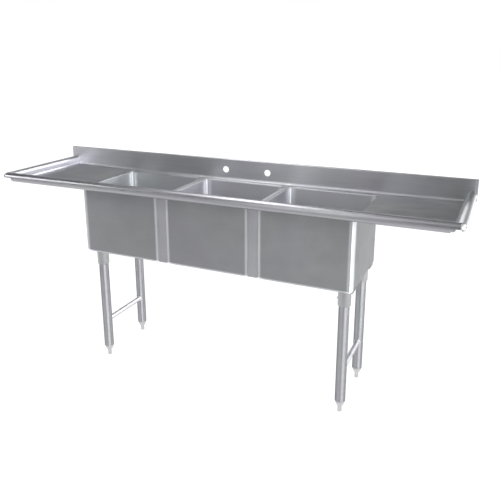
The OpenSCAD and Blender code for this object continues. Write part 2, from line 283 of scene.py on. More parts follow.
def absolute(tree, value):
    return add_node(tree, "ShaderNodeMath", {0: value}, operation="ABSOLUTE").outputs[0]


def bowl_places(tree):
    """How far a point lies from the middle of its bowl, along X and along Y, and its height."""
    place = add_node(tree, "ShaderNodeTexCoord").outputs["Object"]
    axes = add_node(tree, "ShaderNodeSeparateXYZ", {0: place}).outputs
    across = add_node(tree, "ShaderNodeMath", {0: axes["X"], 1: PITCH / 2, 2: -PITCH / 2}, operation="WRAP")
    along = combine(tree, "SUBTRACT", axes["Y"], BOWL_Y)
    return absolute(tree, across.outputs[0]), absolute(tree, along), axes["Z"]


# Widths of the painted highlight bands along the bowls' upright corners, on the outer and the inner faces,
# and how much more the inner band brightens the colour.
OUTER_HIGHLIGHT_BAND, INNER_HIGHLIGHT_BAND = 9 * MM, 20 * MM
INNER_CORNER_HIGHLIGHT = 0.8


def bowl_painted_light(tree, inside, corners):
    """How much brighter a bowl's colour is painted: painted light over its inner faces, and painted
    highlights along its ground and polished upright corners.
    The painted highlight bands reach further on the inner faces than on the outer ones."""
    across, along, height = bowl_places(tree)
    level = combine(tree, "GREATER_THAN", height, FLOOR_Z - SHEET / 2)
    for distance, size in ((across, BOWL_W), (along, BOWL_L)):
        level = combine(tree, "MULTIPLY", level, combine(tree, "LESS_THAN", distance, (size + SHEET) / 2))
    bands = []
    for width in (OUTER_HIGHLIGHT_BAND, INNER_HIGHLIGHT_BAND):
        parts = [ramp(tree, distance, size / 2 - BOWL_R - width, size / 2 - BOWL_R)
                 for distance, size in ((across, BOWL_W), (along, BOWL_L))]
        bands.append(combine(tree, "MULTIPLY", *parts))
    outer = remap(tree, bands[0], 0, 1, 1.0, corners)
    inner = remap(tree, bands[1], 0, 1, inside, inside + INNER_CORNER_HIGHLIGHT)
    chosen = add_node(tree, "ShaderNodeMix", {"Factor": level, 2: outer, 3: inner}, data_type="FLOAT")
    return chosen.outputs[0]


def brushed_steel(name, colour, grain, edge=0.6, roughness=0.42, streak=0.03, wave=0.0006, anisotropy=0.75,
                  seed=0.0, painted_light=None):
    """Number 4 brushed stainless: fine lines along the grain, soft clouds of wear and slightly uneven sheet.
    grain is "X" or "Y", or "round" for lines that run level round an upright surface; edge is how much of
    the reflection is left when the surface is seen nearly edge on; and painted_light is what
    bowl_painted_light takes, the painted light and painted highlights on a bowl."""
    material, tree = node_tree(name)
    along = {"X": (40, 1, 1), "Y": (1, 40, 1), "round": (40, 40, 1)}[grain]
    streaks = noise(tree, 240, 3, 0.65, along, (seed, 1, 0))
    clouds = noise(tree, 4, 4, 0.5, (1, 1, 1), (seed, 0, 2))
    hues = noise(tree, 3, 2, 0.5, (1, 1, 1), (seed, 7, 4))
    smears = noise(tree, 16, 3, 0.6, (1, 1, 1), (seed, 3, 0))
    tone = combine(tree, "ADD", remap(tree, streaks, 0.3, 0.7, 1 - streak, 1 + streak),
                   remap(tree, clouds, 0.3, 0.7, -0.04, 0.04))
    warm = [c * k for c, k in zip(colour, (1.0, 0.985, 1.03))]
    cool = [c * k for c, k in zip(colour, (0.985, 1.005, 1.005))]
    hue = add_node(tree, "ShaderNodeMix", {0: remap(tree, hues, 0.4, 0.6, 0.0, 1.0), 4: warm, 5: cool},
                   data_type="VECTOR").outputs[1]
    # On a bowl the colour is multiplied by painted light over the inner faces and painted highlights along
    # the upright corners.
    if painted_light:
        tone = combine(tree, "MULTIPLY", tone, bowl_painted_light(tree, *painted_light))
    tint = add_node(tree, "ShaderNodeVectorMath", {0: hue, "Scale": tone}, operation="SCALE").outputs[0]
    rough = combine(tree, "ADD", remap(tree, streaks, 0.3, 0.7, roughness - 0.02, roughness + 0.02),
                    remap(tree, smears, 0.35, 0.7, -0.02, 0.04))
    waves = noise(tree, 4.5, 2, 0.45, (1, 1, 1), (seed, 5, 1))
    lines = add_node(tree, "ShaderNodeBump", {"Height": streaks, "Strength": 0.15, "Distance": 0.00005})
    bump = add_node(tree, "ShaderNodeBump", {"Height": waves, "Strength": 1.0, "Distance": wave,
                                             "Normal": lines.outputs[0]})
    shader = add_node(tree, "ShaderNodeBsdfPrincipled", {
        "Base Color": tint, "Metallic": 1.0, "Roughness": rough, "Normal": bump.outputs[0],
        "Specular Tint": (edge, edge, edge, 1), "Anisotropic": anisotropy, "Anisotropic Rotation": 0.25})
    if grain == "round":
        facing = add_node(tree, "ShaderNodeNewGeometry").outputs["Normal"]
        level = add_node(tree, "ShaderNodeVectorMath", {0: (0, 0, 1), 1: facing}, operation="CROSS_PRODUCT")
        direction = add_node(tree, "ShaderNodeVectorMath", {0: level.outputs[0], 1: (0.01, 0, 0)},
                             operation="ADD").outputs[0]
    else:
        direction = add_node(tree, "ShaderNodeCombineXYZ", {"X": float(grain == "X") + 0.01,
                                                            "Y": float(grain == "Y") + 0.01}).outputs[0]
    tree.links.new(direction, shader.inputs["Tangent"])
    add_node(tree, "ShaderNodeOutputMaterial", {0: shader.outputs[0]})
    return material


def plain_metal(name, colour, roughness, mottling=0.03, bump_depth=0.00008, scale=160):
    """Turned, cast or polished steel with a fine even texture and slight mottling."""
    material, tree = node_tree(name)
    grains = noise(tree, scale, 4, 0.6)
    clouds = noise(tree, 18, 3, 0.5, (1, 1, 1), (4, 0, 0))
    tint = add_node(tree, "ShaderNodeVectorMath",
                    {0: colour, "Scale": remap(tree, clouds, 0.3, 0.7, 1 - mottling, 1 + mottling)},
                    operation="SCALE").outputs[0]
    rough = remap(tree, grains, 0.3, 0.7, roughness * 0.85, roughness * 1.2)
    bump = add_node(tree, "ShaderNodeBump", {"Height": grains, "Strength": 0.5, "Distance": bump_depth})
    shader = add_node(tree, "ShaderNodeBsdfPrincipled", {
        "Base Color": tint, "Metallic": 1.0, "Roughness": rough, "Normal": bump.outputs[0]})
    add_node(tree, "ShaderNodeOutputMaterial", {0: shader.outputs[0]})
    return material


def soft_matter(name, colour, roughness, mottling, bump_depth, scale):
    """Rubber or pressed fibre."""
    material, tree = node_tree(name)
    grains = noise(tree, scale, 4, 0.65)
    tint = add_node(tree, "ShaderNodeVectorMath",
                    {0: colour, "Scale": remap(tree, grains, 0.3, 0.7, 1 - mottling, 1 + mottling)},
                    operation="SCALE").outputs[0]
    bump = add_node(tree, "ShaderNodeBump", {"Height": grains, "Strength": 0.6, "Distance": bump_depth})
    shader = add_node(tree, "ShaderNodeBsdfPrincipled", {
        "Base Color": tint, "Roughness": remap(tree, grains, 0.3, 0.7, roughness - 0.08, roughness + 0.08),
        "Normal": bump.outputs[0]})
    add_node(tree, "ShaderNodeOutputMaterial", {0: shader.outputs[0]})
    return material


STEEL = (0.55, 0.555, 0.57)


def shade_of_steel(share):
    return [share * c for c in STEEL]


# These are copies of one stainless steel that differ in shade. The lengthwise sheet at 0.91, the front rim at
# 0.68, the bowls' dark base and the dark tubes carry painted shade. The end rims at 1.12 carry painted light.
steel_x = brushed_steel("brushed_steel_lengthwise", shade_of_steel(0.91), "X", edge=0.3, roughness=0.37,
                        streak=0.06, anisotropy=0.9)
steel_y = brushed_steel("brushed_steel_crosswise", STEEL, "Y", edge=0.6, seed=3.0)
rim_x = brushed_steel("brushed_steel_front_rim", shade_of_steel(0.68), "X", edge=0.9, roughness=0.3,
                      streak=0.02, wave=0.0003, anisotropy=0.6, seed=13.0)
rim_y = brushed_steel("brushed_steel_end_rim", shade_of_steel(1.12), "Y", edge=0.8, roughness=0.34,
                      streak=0.02, wave=0.0003, anisotropy=0.7, seed=15.0)
# The bowls' colour is painted 1.7 times lighter over the inner faces, rising further at the inner corners,
# and up to 1.9 times lighter along the outer corners: painted light and painted highlights.
bowl_steel = brushed_steel("brushed_steel_bowl", (0.34, 0.344, 0.352), "round", edge=0.8, roughness=0.5,
                           anisotropy=0.9, seed=7.0, painted_light=(1.7, 1.9))
filler_steel = brushed_steel("brushed_steel_filler", (0.45, 0.455, 0.466), "round", edge=0.8, roughness=0.5,
                             anisotropy=0.9, seed=8.0)
tube_steel = brushed_steel("satin_tube_steel", (0.38, 0.383, 0.395), "round", edge=0.15, roughness=0.37,
                           wave=0.0, anisotropy=0.9, seed=9.0)
rail_steel = brushed_steel("satin_rail_steel", (0.72, 0.725, 0.74), "Y", edge=0.6, roughness=0.36,
                           wave=0.0, anisotropy=0.3, seed=11.0)
socket_steel = plain_metal("cast_socket_steel", (0.385, 0.388, 0.395), 0.3)
foot_steel = plain_metal("turned_foot_steel", (0.55, 0.55, 0.56), 0.25)
bright_steel = plain_metal("polished_drain_steel", (0.66, 0.66, 0.67), 0.16, 0.02, 0.00003)
black_rubber = soft_matter("black_rubber", (0.03, 0.03, 0.032), 0.6, 0.15, 0.0001, 300)
pressed_fibre = soft_matter("pressed_fibre", (0.62, 0.52, 0.36), 0.8, 0.12, 0.0002, 500)

# ---- rims -----------------------------------------------------------------------

CURL_STEPS, TOP_STEPS = 14, 28


def rim_section(rise, depth):
    """The rim as (distance in from the edge, height) from the free edge of its curl to the deck."""
    radius = ROLL_R - depth
    curl = arc(ROLL_R, ROLL_Z, radius, 270, 180, CURL_STEPS)
    top = arc(ROLL_R, ROLL_Z, radius, 180, 0, TOP_STEPS)
    cove_z = DECK_Z + rise + COVE
    return curl + top[1:] + arc(REACH, cove_z, COVE + depth, 180, 270)


SEAM_LEAD = 1 * MM


def front_rim():
    """The rim along the front, whose curl stops where the ball corners begin."""
    shape = Shape()
    stations = [-HALF_L, -PAN_END, -BOWLS_HALF, BOWLS_HALF, PAN_END, HALF_L]
    grids = []
    for depth in (0, SHEET):
        rows = []
        for station in stations:
            section = rim_section(fall(station), depth)
            row = []
            for s, z in section:
                end = HALF_L - max(s, ROLL_R) - (SEAM_LEAD if s < ROLL_R else 0)
                x = max(-end, min(end, station))
                row.append(Vector((x, FRONT_Y + s, z)))
            rows.append(row)
        grids.append(rows)
    trimmed = [(v, u) for v in (0, len(stations) - 2) for u in range(CURL_STEPS)]
    shape.sheet(grids[0], grids[1], trimmed)
    shape.build("front_rim_rolled", rim_x, node="front_rim")


def end_rim(name, side):
    """The rim along one end, turned at its front round the ball corner, and drawn for the left side."""
    shape = Shape()
    corner = Vector((-HALF_L + ROLL_R, FRONT_Y + ROLL_R, 0))
    turns = [270 - 90 * k / 20 for k in range(21)]
    grids = []
    for depth in (0, SHEET):
        section = rim_section(FALL, depth)
        rows = []
        for lead, turn in [(SEAM_LEAD, 270)] + [(0, turn) for turn in turns]:
            a = math.radians(turn)
            row = []
            for s, z in section:
                if s < ROLL_R:
                    out = ROLL_R - s
                    row.append(Vector((corner.x + lead + out * math.cos(a), corner.y + out * math.sin(a), z)))
                else:
                    row.append(Vector((-HALF_L + s, FRONT_Y + s, z)))
            rows.append(row)
        for station in (DECK_FRONT, DECK_REAR, SPLASH_Y):
            row = []
            for s, z in section:
                y = min(max(station, FRONT_Y + max(s, ROLL_R)), SPLASH_Y - max(0, s - 2 * ROLL_R))
                row.append(Vector((-HALF_L + s, y, z)))
            rows.append(row)
        grids.append(rows)
    trimmed = [(v, u) for v in range(len(turns) + 1) for u in range(CURL_STEPS)]
    shape.sheet(grids[0], grids[1], trimmed)
    shape = mirrored(shape) if side > 0 else shape
    shape.build(f"{name}_end_rim_rolled", rim_y, node=f"{name}_end_rim")


# ---- backsplash -----------------------------------------------------------------

FOLD_R = 3 * MM
SPLASH_LIP = 20 * MM
HOLE_Z = RIM_Z - 1 * MM
HOLE_X = 203.2 * MM / 2
HOLE_R = 29 * MM / 2
HOLE_CELL = 24 * MM


def backsplash():
    """The cove, the face with its two faucet holes, and the folded top and return, in one sheet.
    The face has a square cell round each hole, in two halves, which are filled in round the hole."""
    shape = Shape()
    low = RIM_Z - 2 * ROLL_R
    cell_low, cell_high = HOLE_Z - HOLE_CELL, HOLE_Z + HOLE_CELL
    stations = [-HALF_L, -WALL_X, -PAN_END, -BOWLS_HALF, -HOLE_X - HOLE_CELL, -HOLE_X, -HOLE_X + HOLE_CELL]
    stations += [-x for x in reversed(stations)]

    def section(rise, depth):
        cove = arc(DECK_REAR, DECK_Z + rise + COVE, COVE + depth, 270, 360)
        face = [(SPLASH_Y + depth, z) for z in (low, cell_low, cell_high)]
        top = arc(SPLASH_Y + FOLD_R, SPLASH_TOP - FOLD_R, FOLD_R - depth, 180, 90, 6)
        rear = arc(BACK_Y - FOLD_R, SPLASH_TOP - FOLD_R, FOLD_R - depth, 90, 0, 6)
        return cove + face + top + rear + [(BACK_Y - depth, SPLASH_TOP - SPLASH_LIP)]

    grids = []
    for depth in (0, SHEET):
        rows = []
        for station in stations:
            row = []
            for y, z in section(fall(station), depth):
                end = HALF_L if z >= low - 1e-9 else WALL_X + min(0, y - SPLASH_Y)
                row.append(Vector((max(-end, min(end, station)), y, z)))
            rows.append(row)
        grids.append(rows)
    cove_points = len(arc(0, 0, COVE, 270, 360))
    skipped = [(v, u) for v in (0, len(stations) - 2) for u in range(cove_points)]
    middles = [(stations[v] + stations[v + 1]) / 2 for v in range(len(stations) - 1)]
    skipped += [(v, cove_points + 1) for v, x in enumerate(middles) if abs(abs(x) - HOLE_X) < HOLE_CELL]
    shape.sheet(grids[0], grids[1], skipped)
    for side in (-1, 1):
        x = side * HOLE_X
        for half in (-1, 1):
            rings = []
            for y in (SPLASH_Y, SPLASH_Y + SHEET):
                ring = [Vector((px, y, pz)) for px, pz in arc(x, HOLE_Z, HOLE_R, -90, -90 + half * 180, 24)]
                rings.append(ring)
                outline = [Vector((x, y, cell_high)), Vector((x + half * HOLE_CELL, y, cell_high)),
                           Vector((x + half * HOLE_CELL, y, cell_low)), Vector((x, y, cell_low))]
                shape.disc(ring + outline)
            shape.grid(rings)
    shape.build("backsplash_folded", steel_x, node="backsplash")


def box_shell(shape, low, high, bevel=0.0):
    """A box with its four upright edges rounded by bevel."""
    centre = (Vector(low) + Vector(high)) / 2
    size = Vector(high) - Vector(low)
    loop = rounded_loop(size.x, size.y, max(bevel, 0.05 * MM), 4, 1)
    rings = [lifted(loop, centre.x, centre.y, z) for z in (low[2], high[2])]
    shape.grid(rings, close_u=True)
    shape.disc(list(reversed(rings[0])))
    shape.disc(rings[1])


def splash_end(name):
    shape = Shape()
    box_shell(shape, *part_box(f"{name}_splash_end"), 0.3 * MM)
    shape.build(f"{name}_splash_end_plate", steel_y, node=f"{name}_splash_end")


# ---- deck and drainboards -------------------------------------------------------

def rectangle_points(x0, x1, y0, y1, per_corner=8, per_edge=8):
    """Points round a rectangle that pair up with those of rounded_loop."""
    corners = [(x1, y1), (x0, y1), (x0, y0), (x1, y0)]
    points = []
    for k, (x, y) in enumerate(corners):
        nx, ny = corners[(k + 1) % 4]
        points.extend([(x, y)] * (per_corner + 1))
        for e in range(1, per_edge):
            points.append((x + (nx - x) * e / per_edge, y + (ny - y) * e / per_edge))
    return points


LIP_STEPS = 6


def bowl_deck():
    """The flat sheet round the bowls, with a lip rolled down into each opening."""
    shape = Shape()
    edges = [-BOWLS_HALF, -PITCH / 2, PITCH / 2, BOWLS_HALF]
    for place in PLACES.values():
        x = place * PITCH
        border = rectangle_points(edges[place + 1], edges[place + 2], DECK_FRONT, DECK_REAR)
        for depth in (0, SHEET):
            rings = [[Vector((px, py, DECK_Z - depth)) for px, py in border]]
            for k in range(LIP_STEPS + 1):
                a = math.radians(90 * k / LIP_STEPS)
                out = LIP_R - (LIP_R - depth) * math.sin(a)
                down = LIP_R - (LIP_R - depth) * math.cos(a)
                loop = rounded_loop(BOWL_W + 2 * out, BOWL_L + 2 * out, BOWL_R + out)
                rings.append(lifted(loop, x, BOWL_Y, DECK_Z - down))
            shape.grid(rings, close_u=True)
        foot = [lifted(rounded_loop(BOWL_W + 2 * d, BOWL_L + 2 * d, BOWL_R + d), x, BOWL_Y, DECK_Z - LIP_R)
                for d in (0, SHEET)]
        shape.grid(foot, close_u=True)
    for y in (DECK_FRONT, DECK_REAR):
        shape.grid([[Vector((x, y, z)) for x in (-BOWLS_HALF, BOWLS_HALF)] for z in (DECK_Z, DECK_Z - SHEET)])
    for x in (-BOWLS_HALF, BOWLS_HALF):
        shape.grid([[Vector((x, y, z)) for y in (DECK_FRONT, DECK_REAR)] for z in (DECK_Z, DECK_Z - SHEET)])
    shape.build("bowl_deck_pressed", steel_x, node="bowl_deck")


def drainboard(name, side):
    shape = Shape()
    grids = []
    for depth in (0, SHEET):
        grids.append([[Vector((side * x, y, DECK_Z + fall(x) - depth)) for y in (DECK_FRONT, DECK_REAR)]
                      for x in (BOWLS_HALF, PAN_END)])
    shape.sheet(*grids)
    shape.build(f"{name}_drainboard_pan", steel_x, node=f"{name}_drainboard")


def stiffener(name):
    """A hat channel that follows the slope of the drainboard above it."""
    low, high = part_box(name)
    half = (high.y - low.y) / 2
    mid = (high.y + low.y) / 2
    web = half - 14 * MM
    r = 2.5 * MM
    under = low.z - high.z

    def section(depth):
        left = [(-half, -SHEET + depth)]
        left += arc(-web - r, -r, r - SHEET + depth, 90, 0, 4)
        left += arc(-web + r, under + r, r - depth, 180, 270, 4)
        return left + [(-y, z) for y, z in reversed(left)]

    grids = []
    for depth in (SHEET, 0):
        grids.append([[Vector((x, mid + y, high.z + fall(x) + z)) for y, z in section(depth)]
                      for x in (low.x, high.x)])
    shape = Shape()
    shape.sheet(*grids)
    shape.build(f"{name}_channel", steel_x, node=name)


# ---- bowls ----------------------------------------------------------------------

DISH = 1.5 * MM
COVE_STEPS = 10
FLOOR_SHARES = (0.02, 0.25, 0.5, 0.75, 0.94, 1.0)


def bowl(name, place):
    """A bowl with coved edges, and a floor that dishes to a round drain opening."""
    x = place * PITCH
    shells = []
    for depth in (0, SHEET):
        w, l, r = BOWL_W + 2 * depth, BOWL_L + 2 * depth, BOWL_R + depth
        floor = FLOOR_Z - depth
        top = DECK_Z - (LIP_R if depth == 0 else SHEET)
        rings = [lifted(rounded_loop(w, l, r), x, BOWL_Y, z) for z in (top, floor + DISH + r)]
        for k in range(1, COVE_STEPS + 1):
            a = math.radians(90 * k / COVE_STEPS)
            inset, drop = r * (1 - math.cos(a)), r * (1 - math.sin(a))
            loop = rounded_loop(w - 2 * inset, l - 2 * inset, max(r - inset, 0.01 * MM))
            rings.append(lifted(loop, x, BOWL_Y, floor + DISH + drop))
        edge = rings[-1]
        circle = []
        for point in edge:
            out = Vector((point.x - x, point.y - BOWL_Y, 0)).normalized() * DRAIN_R
            circle.append(Vector((x + out.x, BOWL_Y + out.y, floor)))
        for t in FLOOR_SHARES:
            rings.append([a.lerp(b, t) for a, b in zip(edge, circle)])
        shells.append(rings)
    shape = Shape()
    for rings in shells:
        shape.grid(rings, close_u=True)
    outside = rounded_loop(BOWL_W + 2 * SHEET, BOWL_L + 2 * SHEET, BOWL_R + SHEET)
    shape.grid([shells[0][0], lifted(outside, x, BOWL_Y, DECK_Z - LIP_R)], close_u=True)
    shape.grid([shells[0][-1], shells[1][-1]], close_u=True)
    shape.build(f"{name}_bowl_welded", bowl_steel, node=f"{name}_bowl")


BEAD_HALF = 2.2 * MM
BEAD_RISE = 0.9 * MM
BEAD_FOOT = 0.6 * MM
FACE_REACH, BEAD_REACH = 9 * MM, 2 * MM


def filler(name, side):
    """The strip between two bowls, with a ground weld bead against each rounded corner.
    It runs down to where the bowls' rounded floors hide its end."""
    low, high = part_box(f"{name}_filler")
    mid_x = side * PITCH / 2
    gap = PITCH - BOWL_W - 2 * SHEET
    r = BOWL_R + SHEET
    front = BOWL_Y - BOWL_L / 2 - SHEET
    face_y = low.y
    seam_x = gap / 2 + r - math.sqrt(r ** 2 - (front + r - face_y) ** 2)
    lean = math.radians(22)
    bead_x = gap / 2 + r - r * math.sin(lean)
    root_y = front + r - r * math.cos(lean) + BEAD_RISE
    bead_y = root_y - BEAD_RISE - 0.3 * MM
    root = BEAD_HALF + BEAD_FOOT
    bead = [(seam_x, face_y), (bead_x - root, root_y), (bead_x - BEAD_HALF, bead_y)]
    bead += [(bead_x + BEAD_HALF * px, bead_y + BEAD_RISE * py) for px, py in arc(0, 0, 1, 190, 350, 10)]
    bead.append((bead_x + root, root_y))
    outline = [(-px, py) for px, py in reversed(bead)] + bead
    around = outline + [(px, face_y + SHEET) for px, _ in reversed(outline)]
    ends = [low.z - (BEAD_REACH if abs(px) > bead_x - 3 * MM else FACE_REACH) for px, _ in around]
    rings = [[Vector((mid_x + px, py, z)) for (px, py), z in zip(around, ends)],
             [Vector((mid_x + px, py, high.z)) for px, py in around]]
    shape = Shape()
    shape.grid(rings, close_u=True)
    shape.disc(list(reversed(rings[0])))
    shape.disc(rings[1])
    shape.build(f"{name}_filler_strip", filler_steel, node=f"{name}_filler")


# ---- legs, sockets and feet -----------------------------------------------------

def bead_ring(shape, centre, ring_r, bead_r, wobble=0.12, lumps=40, steps=160, sides=10, seed=1.0):
    """A weld bead as a slightly rippled ring lying in a level plane."""
    rows = []
    for k in range(steps):
        a = 2 * math.pi * k / steps
        r = bead_r * (1 + wobble * math.sin(lumps * a + seed) + 0.06 * math.sin(7 * a + 2 * seed))
        row = []
        for j in range(sides):
            b = 2 * math.pi * j / sides
            out = ring_r + r * math.cos(b)
            row.append(Vector((centre[0] + out * math.cos(a), centre[1] + out * math.sin(a),
                               centre[2] + r * math.sin(b))))
        rows.append(row)
    shape.grid(rows, close_u=True, close_v=True)


def socket(end, side):
    """A flared leg socket, welded to the plate above it."""
    name = f"{end}_{side}_socket"
    low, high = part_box(name)
    leg_lo, leg_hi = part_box(f"{end}_{side}_leg")
    cx, cy = (leg_lo.x + leg_hi.x) / 2, (leg_lo.y + leg_hi.y) / 2
    leg_r = (leg_hi.x - leg_lo.x) / 2
    r = SOCKET_R
    bore = leg_r + 0.1 * MM
    top = high.z - SOCKET_PLATE
    shape = Shape()
    box_shell(shape, Vector((low.x, low.y, top)), high, 3 * MM)
    mouth = arc(r - 4 * MM, low.z + 4 * MM, 4 * MM, -90, 0, 8)
    flare = arc(r + 5 * MM, top - 5 * MM, 5 * MM, 180, 90, 8)
    shape.lathe([(bore, low.z)] + mouth + flare + [(bore, top)], (cx, cy, 0), 72)
    bead_ring(shape, (cx, cy, top - 1.5 * MM), r + 3 * MM, 2.4 * MM)
    shape.build(f"{name}_welded", socket_steel, node=name)


def leg(end, side):
    name = f"{end}_{side}_leg"
    low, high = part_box(name)
    cx, cy, r = (low.x + high.x) / 2, (low.y + high.y) / 2, (high.x - low.x) / 2
    shape = Shape()
    shape.lathe([(r - LEG_WALL, low.z), (r - 0.4 * MM, low.z), (r, low.z + 0.4 * MM), (r, low.z + 2 * MM),
                 (r, high.z - 2 * MM), (r, high.z), (r - LEG_WALL, high.z)], (cx, cy, 0), 72)
    shape.build(f"{name}_tube", tube_steel, node=name)


FILLET_RISE, FILLET_LENGTH = 3.2 * MM, 4.5 * MM


def cross_rail(side):
    """A tube whose ends are cut to the legs' curve and widen into a small weld fillet."""
    name = f"{side}_cross_rail"
    low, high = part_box(name)
    cx, cz, r = (low.x + high.x) / 2, (low.z + high.z) / 2, (high.z - low.z) / 2
    shape = Shape()
    front, rear = [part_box(f"{end}_{side}_leg") for end in ENDS]
    leg_r = (front[1].x - front[0].x) / 2
    ends = [(front[0].y + front[1].y) / 2, (rear[0].y + rear[1].y) / 2]
    rows = []
    for toward, y in ((1, ends[0]), (-1, ends[1])):
        near = []
        for extra in (0.0, 0.35, 0.7, 1.0):
            ring = []
            radius = r + FILLET_RISE * (1 - extra) ** 2
            for k in range(40):
                a = 2 * math.pi * k / 40
                dx, dz = radius * math.cos(a), radius * math.sin(a)
                cope = math.sqrt(max(leg_r ** 2 - dx ** 2, 0)) - 0.2 * MM
                ring.append(Vector((cx + dx, y + toward * (cope + extra * FILLET_LENGTH), cz + dz)))
            near.append(ring)
        rows.extend(near if toward > 0 else list(reversed(near)))
    shape.grid(rows, close_u=True)
    shape.build(f"{name}_tube", rail_steel, node=name)


def foot(end, side):
    """An adjustable bullet foot with turned grooves."""
    name = f"{end}_{side}_foot"
    low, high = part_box(name)
    insert_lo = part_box(f"{end}_{side}_insert")[0]
    cx, cy = (low.x + high.x) / 2, (low.y + high.y) / 2
    collar = (high.x - low.x) / 2
    top = insert_lo.z - 0.2 * MM
    stub, stub_z, cone_z = 8.5 * MM, 24 * MM, 44 * MM
    profile = [(0, 0), (stub - 2.5 * MM, 0)]
    profile += arc(stub - 2.5 * MM, 2.5 * MM, 2.5 * MM, -90, 0, 6)
    cone_r, cone_foot = stub + 1.8 * MM, stub_z + 1 * MM
    profile += [(stub, stub_z - 3 * MM), (stub + 0.6 * MM, stub_z - 1 * MM), (cone_r, cone_foot)]
    for k in range(1, 9):
        t = k / 8
        swell = math.sin(math.pi * t) * 1.2 * MM
        radius = cone_r + (collar - cone_r) * t + swell * (1 - t)
        profile.append((radius, cone_foot + (cone_z - cone_foot) * t))
    profile += [(collar, top - 0.8 * MM), (collar - 0.8 * MM, top)]
    stud = 7.9 * MM
    profile.append((stud, top))
    pitch, z = 2 * MM, top
    while z + pitch < high.z:
        profile += [(stud, z + 0.25 * pitch), (stud - 0.9 * MM, z + 0.6 * pitch), (stud, z + 0.95 * pitch)]
        z += pitch
    profile += [(stud - 0.5 * MM, high.z), (0, high.z)]
    shape = Shape()
    shape.lathe(profile, (cx, cy, 0), 64)
    shape.build(f"{name}_bullet", foot_steel, node=name, body=name)


# ---- drains ---------------------------------------------------------------------

def drain(place):
    """The middle of a bowl's drain opening."""
    return (place * PITCH, BOWL_Y, FLOOR_Z)


def strainer(name, place):
    """The strainer body: a rounded flange, a pressed cup and a threaded outlet."""
    cup, wall, deep, outlet, end = 43.5 * MM, 2 * MM, 44 * MM, 23.9 * MM, 60 * MM
    flange = cup + 13 * MM
    profile = [(outlet - 1.5 * MM, -end), (outlet - 0.6 * MM, -end)]
    pitch, z = 2 * MM, -end + 1 * MM
    while z + pitch < -deep:
        profile += [(outlet, z + 0.4 * pitch), (outlet - 0.8 * MM, z + pitch)]
        z += pitch
    profile += arc(cup - 5 * MM, 5 * MM - deep, 5 * MM, 270, 360, 8)
    profile += [(cup, -0.1 * MM), (flange - 0.8 * MM, 0)]
    profile += arc(flange - 1 * MM, 1 * MM, 1 * MM, 0, 90, 5)
    profile += arc(cup - wall + 2.5 * MM, -0.5 * MM, 2.5 * MM, 90, 180, 8)
    profile += arc(cup - wall - 4 * MM, wall + 4 * MM - deep, 4 * MM, 360, 270, 8)
    profile += arc(outlet + 0.5 * MM, wall - 2 * MM - deep, 2 * MM, 90, 180, 5)
    shape = Shape()
    shape.lathe(profile, drain(place), 96)
    shape.build(f"{name}_strainer_body", bright_steel, node=f"{name}_strainer")


def basket(name, place):
    """A lift-out basket with rows of square perforations, a post and a rounded knob."""
    low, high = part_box(f"{name}_basket")
    base = low.z - FLOOR_Z
    top = high.z - FLOOR_Z
    wall, r, rim_r = 0.8 * MM, 37 * MM, 40.5 * MM
    steps, hole = 120, 2 * MM
    floor_r = [4 * MM + hole * k for k in range(15)]
    wall_z = [base + 5 * MM + hole * k for k in range(14)]

    def section(depth):
        out = [(x, base + depth) for x in floor_r]
        out += arc(r - 4 * MM, base + 4 * MM, 4 * MM - depth, 270, 360, 6)
        out += [(r - depth, z) for z in wall_z]
        return out + arc(rim_r, -4.3 * MM, 3.5 * MM + depth, 180, 90, 6)

    cx, cy, cz = drain(place)
    grids = []
    for depth in (0, wall):
        rows = []
        for x, z in section(depth):
            angles = [2 * math.pi * k / steps for k in range(steps)]
            rows.append([Vector((cx + x * math.cos(a), cy + x * math.sin(a), cz + z)) for a in angles])
        grids.append(rows)
    holes = []
    for ring in range(2, len(floor_r) - 1, 2):
        width = 4 if floor_r[ring] < 16 * MM else 2
        holes += [(ring, u) for u in range(steps) if (u // width + ring // 2) % 2]
    first = len(floor_r) + 7
    for ring in range(1, len(wall_z) - 1, 2):
        holes += [(first + ring, u) for u in range(steps) if (u + ring // 2) % 2]
    shape = Shape()
    shape.sheet(grids[0], grids[1], holes, closed=True)
    post = [(0, base + 0.2 * MM), (7 * MM, base + wall), (4.4 * MM, base + 2.5 * MM),
            (3.6 * MM, base + 6 * MM), (3.4 * MM, top - 12 * MM), (4.2 * MM, top - 8 * MM),
            (7.6 * MM, top - 6.4 * MM)]
    post += arc(7 * MM, top - 4.4 * MM, 2 * MM, -60, 60, 8)
    post += [(6 * MM, top - 0.8 * MM), (3 * MM, top), (0, top)]
    shape.lathe(post, drain(place), 48)
    shape.build(f"{name}_basket_pressed", bright_steel, node=f"{name}_basket", body=f"{name}_basket")


front_rim()
for name, side in SIDES.items():
    end_rim(name, side)
    splash_end(name)
    drainboard(name, side)
    stiffener(f"{name}_stiffener")
backsplash()
bowl_deck()
for name, place in PLACES.items():
    bowl(name, place)
    strainer(name, place)
    basket(name, place)
for name, side in SIDES.items():
    filler(name, side)
    cross_rail(name)
    for end in ENDS:
        socket(end, name)
        leg(end, name)
        foot(end, name)

# ---- small pieces that keep their CAD meshes ------------------------------------

finishes = {"brushed_sheet": steel_x, "satin_tube": tube_steel, "socket_steel": socket_steel,
            "foot_steel": foot_steel, "bright_steel": bright_steel, "black_rubber": black_rubber,
            "fibre": pressed_fibre}
for name, node in frame["nodes"].items():
    for index in range(len(node.data.materials)):
        node.data.materials[index] = finishes[SLOT_OF[name]]

# ---- floor, light and camera ----------------------------------------------------

# What the floor reflects and what it gives off, and the glow's share at its front left, front right and
# far right, against its share under the sink.
FLOOR_BASE, FLOOR_GLOW = 0.25, 0.85
FRONT_LEFT_FLOOR, FRONT_RIGHT_FLOOR, FAR_RIGHT_FLOOR = 0.65, 0.5, 3.0
